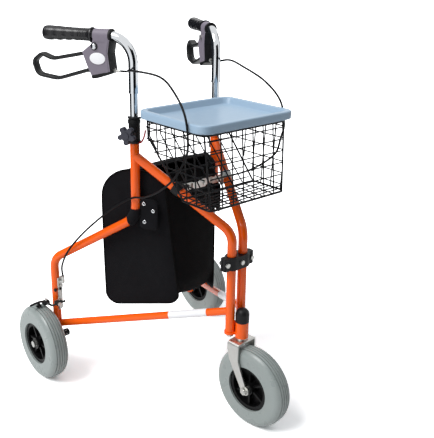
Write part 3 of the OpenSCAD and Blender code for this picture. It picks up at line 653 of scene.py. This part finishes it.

# %% [markdown]
# A cord of piping is sewn round each side panel, and a wider binding round the mouth.
# When the real frame folds, the bag is pressed flat between the side frames. Here each piece of the bag
# only gets a mesh of its own.

# %% Bag piping and binding
piping_r, binding_r = 0.0022, 0.0026


def closed_tube(loop, radius, lean):
    """A tube along a loop: the loop is lengthened at both ends for its directions."""
    rings = tube(np.concatenate((loop[-1:], loop, loop[:1])), radius, 10, lean)[1:-1]
    return np.concatenate((rings, rings[:1]))


def along_panel(line, inset):
    """A line on the outline, carried out to the left-hand panel less an inset, in metres."""
    return np.stack((bag_half_width(*line.T) - inset, line[:, 0] - y_mid, line[:, 1]), -1) / 1000


piping = [closed_tube(along_panel(outline, 0.6) * (mirror, 1, 1), piping_r, (1.0, 0.0, 0.0))
          for mirror in (-1, 1)]
# The piping is in the same darker nylon, painted shade.
bag_piping = piece("bag_piping", np.stack(piping), shaded_nylon, "head", caps=False, sharp=80)
sheet = gusset_sheet(swell - cloth_t / 2)
mouth_side = along_panel(outline[-run_points:], 1.2)
mouth = np.concatenate((sheet[0], mouth_side[::-1], sheet[-1][::-1], mouth_side * (-1, 1, 1)))
binding = closed_tube(mouth, binding_r, (0.0, 0.0, 1.0))
bag_mouth = piece("bag_mouth", binding, nylon, "head", caps=False, sharp=80)
for soft in (bag, bag_panels, bag_piping, bag_mouth):
    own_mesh(soft)
print("binding points", len(mouth))

# %% [markdown]
# A strap holds the bag to each side frame: a sleeve round the bend of the tube, and a
# tab of the same cloth with three press studs. The sleeve is a tube along the bend.
# The tab is a cushion-edged plate, made from its outline shrunk in steps, and a stud is
# a profile turned round an axis, as most small round fittings are made.

# %% Turned profiles and plates with soft edges
def lathe(profile, centre, axis, facets, wide=(1.0, 1.0)):
    """A profile of (radius, height) in millimetres turned round an axis. wide stretches the
    circle to an oval: the first number is for the level way, the second for the upright."""
    profile = np.array(profile) / 1000
    axis = unit(axis)
    first = unit(np.cross((0.0, 0.0, 1.0), axis))
    second = np.cross(axis, first)
    turn = full_turn(facets)
    circle = np.cos(turn)[:, None] * first * wide[0] + np.sin(turn)[:, None] * second * wide[1]
    return centre + profile[:, :1, None] * circle + profile[:, 1:, None] * axis


def stood_up(line, out):
    """Points of (along, up) on a side frame, with their distance out of it."""
    return np.stack((line[..., 0], np.broadcast_to(out, line.shape[:-1]), line[..., 1]), -1)


def plate(corners, radius, levels):
    """A plate with soft edges: the outline, shrunk by an inset, at each distance out."""
    inset, out = np.array(levels).T
    corners = np.repeat(corners, len(levels), 0)
    middle = corners.mean(1, keepdims=True)
    half = np.abs(corners - middle)
    corners = middle + np.sign(corners - middle) * (half - inset[:, None, None])
    lines = rounded_plan(corners, np.maximum(radius - inset, 2.0)[:, None], 8, 10)
    return stood_up(lines, out[:, None])


# %% Bag straps and press studs
tab_corners = np.array([[(191, 456), (239.2, 456), (239.2, 534), (191, 534)]], float)
tab_corner_r = 12.0
tab_levels = [(9, -1.6), (1.2, -1.6), (0.2, -0.8), (0, 0), (0.2, 0.8), (1.2, 1.6), (9, 1.8)]
stud_profile = [(2.3, 0.2), (2.4, 1.5), (3.0, 2.1), (3.8, 2.3), (4.7, 1.9), (5.3, 0.9), (5.3, 0.2),
                (2.3, 0.2)]
stud_places = [(227, 1.6, 521), (202.5, 1.6, 506), (226, 1.6, 475)]
strap_bend = smooth([(250, 0, 506), (250.1, 0, 501), (250.8, 0, 495), (255, 0, 487), (263, 0, 475),
                     (267, 0, 472.2)], 6)
sleeve_r = 0.0138 + 0.0007 * np.sin(np.linspace(0, np.pi, len(strap_bend)))
sleeve_r[[0, -1]] = 0.0128
for side, mirror in sides:
    body = f"{side}_frame"
    out_way = way(mirror, 0.0, 1.0, 0.0)
    sleeve = tube(on_side(strap_bend, mirror), sleeve_r, 28, out_way)
    piece(f"{side}_strap", sleeve, nylon, body, [f"{side}_bag_strap"], sharp=70)
    tab = on_side(plate(tab_corners, tab_corner_r, tab_levels), mirror)
    piece(f"{side}_strap_tab", tab, nylon, body, sharp=70)
    studs = [lathe(stud_profile, on_side(place, mirror), out_way, 20) for place in stud_places]
    piece(f"{side}_strap_studs", np.stack(studs), chrome, body, caps=False)
print("straps", len(sides), "studs", len(sides) * len(stud_places))

# %% [markdown]
# The basket is welded from round wire: uprights on the outside, cross wires inside
# them. Each panel is a flat outline in space, so its wires are straight lines cut
# to that outline, with the uprights and the cross wires about a wire apart in depth.
# An Array modifier could repeat one wire, but not cut each one to its own length.

# %% Basket wires
wire_pitch, row_gap, foot_gap, wire_r = 32.0, 30.0, 17.0, 1.6
wire_step, wire_overlap, shortest_wire = 2.1, 3.0, 4.0


def cut_lines(starts, heading, corners):
    """Each line, cut to an outline that has no inward corner: the last way in and the
    first way out over the outline's edges."""
    edge = np.roll(corners, -1, 0) - corners
    inward = np.stack((-edge[:, 1], edge[:, 0]), -1)
    gap = ((starts[:, None] - corners) * inward).sum(-1)
    rate = (heading * inward).sum(-1)
    rate = np.where(np.abs(rate) < 1e-9, 1e-9, rate)
    cross = -gap / rate
    begin = np.where(rate > 0, cross, -1e9).max(1)
    stop = np.where(rate < 0, cross, 1e9).min(1)
    kept = stop - begin > shortest_wire
    return starts[kept] + begin[kept, None] * heading, starts[kept] + stop[kept, None] * heading


def wires(first, last, radius):
    """Straight wires: a ring of eight points at each end, for all of them at once."""
    ahead = unit(last - first)
    lean = np.where(np.abs(ahead[:, 2:]) > 0.9, (1.0, 0.0, 0.0), (0.0, 0.0, 1.0))
    one = unit(np.cross(ahead, lean))
    two = np.cross(ahead, one)
    turn = full_turn(8)[None, :, None]
    ring = radius * (np.cos(turn) * one[:, None] + np.sin(turn) * two[:, None])
    return np.stack((first[:, None] + ring, last[:, None] + ring), 1)


def panel(width, height, row_pitch, corners, origin, over, upward):
    """The ends of one panel's wires. over and upward are its two ways in space."""
    columns = int(width // wire_pitch)
    rows = int(height // row_pitch)
    inside = np.cross(over, upward)
    x = (np.arange(columns + 1) - columns / 2) * wire_pitch + width / 2
    y = (np.arange(rows + 1) + 0.5) * height / (rows + 1)
    column_ends = cut_lines(np.stack((x, 0 * x), -1), (0, 1), corners)
    row_ends = cut_lines(np.stack((0 * y, y), -1), (1, 0), corners)
    ends = []
    for (a, b), depth in ((column_ends, 0.0), (row_ends, wire_step)):
        stretch = unit(b - a) * wire_overlap
        for flat in (a - stretch, b + stretch):
            ends.append(origin + flat[:, :1] * over + flat[:, 1:] * upward - depth * inside)
    return np.concatenate((ends[0], ends[2])), np.concatenate((ends[1], ends[3]))


# %% [markdown]
# The basket's mouth is wider than its foot, and its back slopes in below a knee. So
# each panel has its own corners, counted from where it starts, and its own way up.

# %% Basket panels
top_x, low_x, top_y0, top_y1, low_y0, low_y1 = 127.0, 116.0, -20.0, 186.0, -32.0, 70.0
rim_z, knee_z, basket_low = 729.8, 690.0, 566.0
knee_x = top_x - (rim_z - knee_z) * (top_x - low_x) / (rim_z - basket_low)
front_h = np.hypot(top_y0 - low_y0, rim_z - basket_low)
front_up = np.array((0, top_y0 - low_y0, rim_z - basket_low)) / front_h
side_lean = np.arctan2(top_x - low_x, rim_z - basket_low)
side_h = (rim_z - basket_low) / np.cos(side_lean)
side_back = top_y1 - low_y0 - 12
rear_run = np.array((0, top_y1 - low_y1, knee_z - basket_low))
rear_h = np.linalg.norm(rear_run)
back_h = rim_z - knee_z - 6
front_cut = [(23, 3), (231, 3), (240, front_h - 3), (14, front_h - 3)]
side_cut = [(11, 4), (low_y1 - low_y0 - 14, 4), (side_back, (knee_z - basket_low - 4) / np.cos(side_lean)),
            (side_back, side_h - 4), (top_y0 - low_y0 + 10, side_h - 4)]
rear_cut = [(knee_x - low_x + 10, 7), (knee_x + low_x - 10, 7), (2 * knee_x - 11, rear_h - 4),
            (11, rear_h - 4)]
back_cut = [(12, 0), (2 * knee_x - 12, 0), (2 * knee_x - 12, back_h), (12, back_h)]
foot_cut = [(5, 5), (2 * low_x - 5, 5), (2 * low_x - 5, 94), (5, 94)]
x_way, y_way, z_way = (1, 0, 0), (0, 1, 0), (0, 0, 1)
basket_panels = {
    "basket_front": [
        panel(2 * top_x, front_h, row_gap, front_cut, (-top_x, low_y0, basket_low), x_way, front_up)],
    "basket_sides": [
        panel(top_y1 - low_y0, side_h, row_gap, side_cut, (m * (low_x + 0.6), low_y0, basket_low), y_way,
              (m * np.sin(side_lean), 0, np.cos(side_lean))) for m in (-1, 1)],
    "basket_rear": [
        panel(2 * knee_x, rear_h, row_gap, rear_cut, (-knee_x, low_y1 - 1.3, basket_low), x_way,
              rear_run / rear_h),
        panel(2 * knee_x, back_h, row_gap, back_cut, (-knee_x, top_y1, knee_z + 2), x_way, z_way)],
    "basket_bottom": [
        panel(2 * low_x, low_y1 - low_y0, foot_gap, foot_cut, (-low_x, low_y0, basket_low), x_way, y_way)],
}
for name, parts in basket_panels.items():
    first, last = ((np.concatenate(ends) - (0, y_mid, 0)) / 1000 for ends in zip(*parts))
    piece(f"{name}_wires", wires(first, last, wire_r / 1000), wire_coat, "basket", [name], sharp=50)
    print(name, len(first), "wires")

# %% [markdown]
# The tray is one moulding with soft edges everywhere. It is a stack of rounded
# rectangles: out under the foot, up the outer wall, over the rim, and down the inner
# wall to the floor. Each row gives half the width, the front, the back, the corner and
# the height. For the walls and the rim, an inset from the outer rectangle is enough.
# A bevelled box would round all its edges alike, and here each has its own curve.

# %% Tray
tray_half, tray_front, tray_back = 142, -35, 199


def rectangles(x0, x1, y0, y1):
    """The four corners of each rectangle, from arrays of its sides."""
    return np.stack([np.stack(corner, -1) for corner in ((x0, y0), (x1, y0), (x1, y1), (x0, y1))], 1)


def raised(lines, height):
    """Lines of a plan, each at its own height."""
    return np.concatenate((lines, np.broadcast_to(height[:, None, None], lines.shape[:2] + (1,))), -1)


tray_foot = [
    (1, 75, 77, 0.5, 728.5), (98, 10, 156, 8, 728.5), (103, 5, 161, 13, 728.9), (104, 4, 162, 14, 730),
    (104, 4, 162, 14, 733.2),
]
tray_insets = [
    (14, 18, 733.5), (6, 26, 734.4), (2.4, 29, 735.4), (0.8, 30, 736.1), (0.1, 30, 737.2), (0, 30, 739),
    (0, 30, 750.6), (0.4, 30, 752.4), (1.6, 29, 753.8), (3.4, 28, 754.3), (12.4, 21, 754.3),
    (13.8, 20, 753.8), (14.6, 19.6, 752.6), (19.0, 17, 741.6), (19.8, 16.5, 740.2), (21.4, 16, 739.5),
    (60, 6, 739.5),
]
tray_floor = [(1, 78, 80, 0.5, 739.5)]
tray_walls = [(tray_half - inset, tray_front + inset, tray_back - inset, *rest)
              for inset, *rest in tray_insets]
half, front, back, radius, height = np.array(tray_foot + tray_walls + tray_floor).T
tray_lines = rounded_plan(rectangles(-half, half, front, back), radius[:, None], 12, 12)
tray_grid = (raised(tray_lines, height) - (0, y_mid, 0)) / 1000
piece("tray_moulding", tray_grid, tray_plastic, "tray", ["tray"], sharp=75)
print("tray points", tray_grid.shape[0] * tray_grid.shape[1])

# %% [markdown]
# Each grip is a rubber sleeve that swells towards its end, with a flange and a few
# rings at the brake body and three shallow hollows for the fingers, deepest underneath.
# Its radius is a function of the place along it and the turn round it. The profile
# starts inside the bore, so that the sleeve is closed round the handle's tube.

# %% Grips
grip_s, grip_z = 351.0, 912.0
held_from, held_to, hollows, hollow_depth = 42, 114, 3, 1.5
ringed_from, ringed_to, ring_pitch, ring_depth = 12, 41, 4.1, 0.45
grip_along = [119, 119, 60, 0.3, 0, 0.3, 3.6, 5.5, 8, 12, 34, 70, 100, 119, 126, 130, 131.4, 132, 132]
grip_out = [0.3, 11.3, 11.3, 11.3, 12.2, 17.2, 17.9, 17, 15.2, 14.7, 14.6, 15.6, 16.8, 17, 16.6, 15.4,
            13, 9, 0.3]
knots = np.arange(len(grip_along))
dense = np.linspace(0, knots[-1], 361)
place = np.interp(dense, knots, grip_along)
out = np.interp(dense, knots, grip_out)
outer = dense > 8
round_off = np.convolve(np.pad(out, 6, "edge"), np.ones(13) / 13, "valid")
out = np.where(outer & (dense < 15), round_off, out)
turn = full_turn(56)
under = np.clip(-np.sin(turn), 0, 1) ** 0.7
held = outer & (place > held_from) & (place < held_to)
held_share = np.clip((place - held_from) / (held_to - held_from), 0, 1)
hollow = (np.sin(np.pi * held_share * hollows) ** 2 * held)[:, None]
ringed = outer & (place > ringed_from) & (place < ringed_to)
rings = (np.cos(2 * np.pi * (place - ringed_from) / ring_pitch) * ringed)[:, None]
radius = out[:, None] - hollow_depth * hollow * (0.25 + 0.75 * under)
radius = radius - ring_depth * (1 - rings) * ringed[:, None]
grip_place = grip_s + np.broadcast_to(place[:, None], radius.shape)
grip = np.stack((grip_place, radius * np.cos(turn), grip_z + radius * np.sin(turn)), -1)
for side, mirror in sides:
    piece(f"{side}_grip_rubber", on_side(grip, mirror), grip_rubber, f"{side}_handle",
          [f"{side}_grip"], sharp=55)
print("grip points", radius.size)

# %% [markdown]
# The brake body has a black trim round its front and foot, a bare oval plate and the
# lever's screw on a black washer. The trim is a block cut from an outline, its edges
# softened by drawing the outline in at both faces.

# %% Brake bodies' trim
trim_outline = np.array([(298, 903), (302, 903), (307.5, 874), (302, 833), (338, 824.5), (353, 821),
                         (349.6, 813.6), (334.5, 816.2), (298, 828.5), (303.5, 874)], float)
trim_levels = [(1.2, -15.4), (0.3, -15.0), (0, -14.2), (0, 14.2), (0.3, 15.0), (1.2, 15.4)]
front_outline = np.array([(301.5, 904), (316, 904), (316, 832), (301.5, 832), (307, 874)], float)
front_levels = [(0.6, -14.3), (0, -13.7), (0, 13.7), (0.6, 14.3)]
trim_corner_r = 1.6
cap_profile = [(11.25, 0), (14.6, 0), (15.6, 0.8), (15.9, 2), (15.9, 6), (11.25, 6), (11.25, 0)]
plate_profile = [(0.3, 0), (19.4, 0), (20.3, 0.5), (20.5, 1), (20.1, 1.5), (19, 1.7), (0.3, 1.8)]
washer_profile = [(0.3, 0), (8.2, 0), (8.7, 0.5), (8.7, 1.6), (8.0, 2.0), (0.3, 2.0)]
screw_profile = [(0.3, 2), (6.6, 2), (6.7, 3.4), (6.3, 4.4), (5.0, 5.3), (3, 5.8), (0.3, 6)]
cap_place, plate_place, screw_place = (300, 0, grip_z), (334, 14, 861), (342, 14, 888)
white_plate = Finish("white_plate", paint(248, 248, 250), roughness=0.35)
white_plate.shade(white_plate.noise(40, 2) * 0.3, paint(240, 241, 245))


def slab(line, levels, mirror):
    """A block from an outline on the side frame. levels gives (inset, distance out)."""
    line = rounded_plan(line[None], np.array([[trim_corner_r]]), 4, 4)[0]
    ahead = unit(np.roll(line, -1, 0) - np.roll(line, 1, 0))
    inward = np.stack((ahead[:, 1], -ahead[:, 0]), -1)
    inset, out = np.array(levels).T
    return on_side(stood_up(line + inward * inset[:, None, None], out[:, None]), mirror)


for side, mirror in sides:
    body = f"{side}_handle"
    out_way = way(mirror, 0.0, 1.0, 0.0)
    trim = slab(trim_outline, trim_levels, mirror)
    piece(f"{side}_brake_trim", trim, black_plastic, body)
    face = slab(front_outline, front_levels, mirror)
    piece(f"{side}_brake_front", face, grey_plastic, body)
    cap = lathe(cap_profile, on_side(cap_place, mirror), way(mirror, 1.0, 0.0, 0.0), 40)
    piece(f"{side}_brake_cap", cap, black_plastic, body, caps=False)
    oval = lathe(plate_profile, on_side(plate_place, mirror), out_way, 48, (1.0, 0.65))
    piece(f"{side}_brake_plate", oval, white_plate, body)
    washer = lathe(washer_profile, on_side(screw_place, mirror), out_way, 28)
    piece(f"{side}_lever_washer", washer, black_plastic, body)
    screw = lathe(screw_profile, on_side(screw_place, mirror), out_way, 28)
    piece(f"{side}_lever_screw", screw, chrome, body)
print("trimmed brake bodies", len(sides))

# %% [markdown]
# The loop lever has a thick coat of plastic. Its sleeve follows the lever's own bends:
# the corners of the loop, each rounded, with a section that is wide and full-cornered.
# The first and last corner only say where the two ends run to. Their own bends and the
# line between them are left off.

# %% Lever sleeves
lever_corners = np.array([[(364, 832.3), (451, 806), (507, 813), (517, 845), (493, 863), (463, 852),
                           (364, 872.2)]])
lever_bends = np.array([[1.0, 60, 20, 14, 14, 40, 1.0]])
lever_r, lever_wide, lever_square = 0.0046, 2.3, 0.6
lever_loop = rounded_plan(lever_corners, lever_bends, 14, 10)[0][13:-22]
for side, mirror in sides:
    lever_line = on_side(stood_up(lever_loop, 0.0), mirror)
    sleeve = tube(lever_line, lever_r, 24, way(mirror, 0.0, 1.0, 0.0), lever_wide, lever_square)
    piece(f"{side}_lever_sleeve", sleeve, lever_coat, f"{side}_lever")
print("points along a lever sleeve", len(lever_loop))

# %% [markdown]
# At each rear wheel a bent bar carries the brake shoe over the tyre. A boss holds the
# bar, with a ring on top of the shoe, a spring on the inner wire pulls it back, and a
# black cap covers the inner end of the axle. Most of these points count from the axle:
# along the travel, out along the axle, and up. The spring joins the frame and the bar,
# and it rides on no body.

# %% Points at a rear axle
leg_reach, wheel_r = 497.0, 100.0
axle_x = half_gap + leg_reach * np.sin(splay)
axle_y = leg_reach * np.cos(splay) - y_mid


def at_axle(points, mirror):
    """Millimetres from the axle to metres in the frame of the whole part."""
    along, out, height = np.moveaxis(points, -1, 0)
    return np.stack((mirror * (axle_x + out), axle_y + along, wheel_r + height), -1) / 1000


def block(low, high, corner_r, mirror):
    """A block by the wheel with soft edges, from its two far corners."""
    inset = np.array((1.2, 0.3, 0, 0, 0.3, 1.2))
    rise = np.array((0, 0.4, 1.2))
    height = np.concatenate((low[2] + rise, high[2] - rise[::-1]))
    corners = rectangles(low[0] + inset, high[0] - inset, low[1] + inset, high[1] - inset)
    lines = rounded_plan(corners, np.full((len(inset), 1), corner_r), 5, 3)
    return at_axle(raised(lines, height), mirror)


# %% Rear brakes
bar_r, ring_r, ring_wire_r, spring_r, spring_wire_r = 0.0029, 4.6, 0.0013, 0.0026, 0.0006
bar_path = smooth([(-29, -9, 111), (-29, 4, 112), (-29, 20, 111), (-25, 28, 109), (-13, 31, 109.5),
                   (-1, 38, 113), (1, 50, 116), (1, 64, 115.4), (1, 78, 113.4)], 6)
shoe_blocks = [((-9, 24, 105), (7, 42, 115), 3.0), ((-5, 46, 103.3), (6, 60, 106.3), 3.0),
               ((-3, 50, 105.4), (5, 57, 115), 2.0)]
boss_profile = [(0.3, 0), (6.9, 0), (7.5, 0.6), (7.5, 9.4), (6.9, 10), (0.3, 10)]
axle_cap_profile = [(0.3, 0), (7.2, 0), (8.4, 0.8), (9.4, 2.4), (9.6, 4), (9.6, 18.4), (0.3, 18.4)]
leg_screw_profile = np.array([(0.3, 0), (4.6, 0), (4.8, 0.8), (4.6, 2.6), (3.4, 3.6), (0.3, 4)])
screw_tip_share = 0.85
ring_turn = full_turn(28)
ring_line = np.stack((np.cos(ring_turn), 0 * ring_turn, np.sin(ring_turn)), -1) * ring_r + (-2, 33, 119.4)
spring_coils = 15
spring_share = np.linspace(0, 1, spring_coils * 12)[:, None]
coil = 2 * np.pi * spring_coils * spring_share
for side, mirror in sides:
    body = f"{side}_brake"
    on_frame = f"{side}_frame"
    ahead_way = way(mirror, 1.0, 0.0, 0.0)
    out_way = way(mirror, 0.0, 1.0, 0.0)
    bar = tube(at_axle(bar_path, mirror), bar_r, 14)
    piece(f"{side}_brake_bar", bar, lever_coat, body, [f"{side}_brake_arm"])
    shoe = np.stack([block(low, high, corner_r, mirror) for low, high, corner_r in shoe_blocks])
    piece(f"{side}_brake_shoe", shoe, black_plastic, body)
    boss = lathe(boss_profile, at_axle((-34.2, 12, 112), mirror), (0.0, 1.0, 0.0), 28)
    piece(f"{side}_brake_boss", boss, lever_coat, body)
    ring = closed_tube(at_axle(ring_line, mirror), ring_wire_r, (1.0, 0.0, 0.0))
    piece(f"{side}_brake_ring", ring, steel, body, caps=False)
    spring_top = on_side((473, 0, 263), mirror)
    spring_low = on_side((468.5, 4, 213), mirror)
    spring_line = spring_top + spring_share * (spring_low - spring_top)
    spring_line = spring_line + spring_r * (np.cos(coil) * ahead_way + np.sin(coil) * out_way)
    spring_grid = tube(spring_line, spring_wire_r, 8)
    spring = piece(f"{side}_brake_spring", spring_grid, steel, None, sharp=60)
    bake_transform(spring)
    cap = lathe(axle_cap_profile, at_axle((0, -30.6, 0), mirror), (mirror, 0.0, 0.0), 32)
    piece(f"{side}_axle_cap", cap, black_plastic, on_frame)
    head = lathe(leg_screw_profile, on_side((490.7, 10.4, 241.8), mirror), out_way, 24)
    tip = lathe(leg_screw_profile * screw_tip_share, on_side((482.8, 0, 243), mirror), -ahead_way, 24)
    piece(f"{side}_leg_screw", np.stack((head, tip)), black_plastic, on_frame)
print("rear brakes", len(sides))

# %% [markdown]
# White reflective bands are wrapped round the front of the lower rails, and a small
# red hook hangs at the right collar. A band is a tube a little thicker than the rail,
# along the rail's own straight line.

# %% Bands and hook
band_from, band_to, band_r, hook_r = 59, 160, 0.00985, 0.0021
rail_top, rail_drop = 283.0, 146.0 / leg_reach
band_s = np.linspace(band_from, band_to, 12)
band_line = stood_up(np.stack((band_s, rail_top - rail_drop * band_s), -1), 0.0)
for side, mirror in sides:
    band = tube(on_side(band_line, mirror), band_r, 32)
    piece(f"{side}_band", band, white_plate, f"{side}_frame")
red_coat = Finish("red_coat", paint(170, 30, 40), roughness=0.4)
red_coat.shade(red_coat.noise(60, 2) * 0.4, paint(140, 24, 34))
hook_line = smooth([(217, 8, 704), (218.5, 8, 695), (221.5, 8, 686), (226, 7, 678), (231, 5, 673),
                    (237, 3, 672)], 6)
hook = tube(on_side(hook_line, -1), hook_r, 12, way(-1, 0.0, 1.0, 0.0))
piece("right_hook", hook, red_coat, "right_frame")
print("bands", len(sides), "hook", 1)
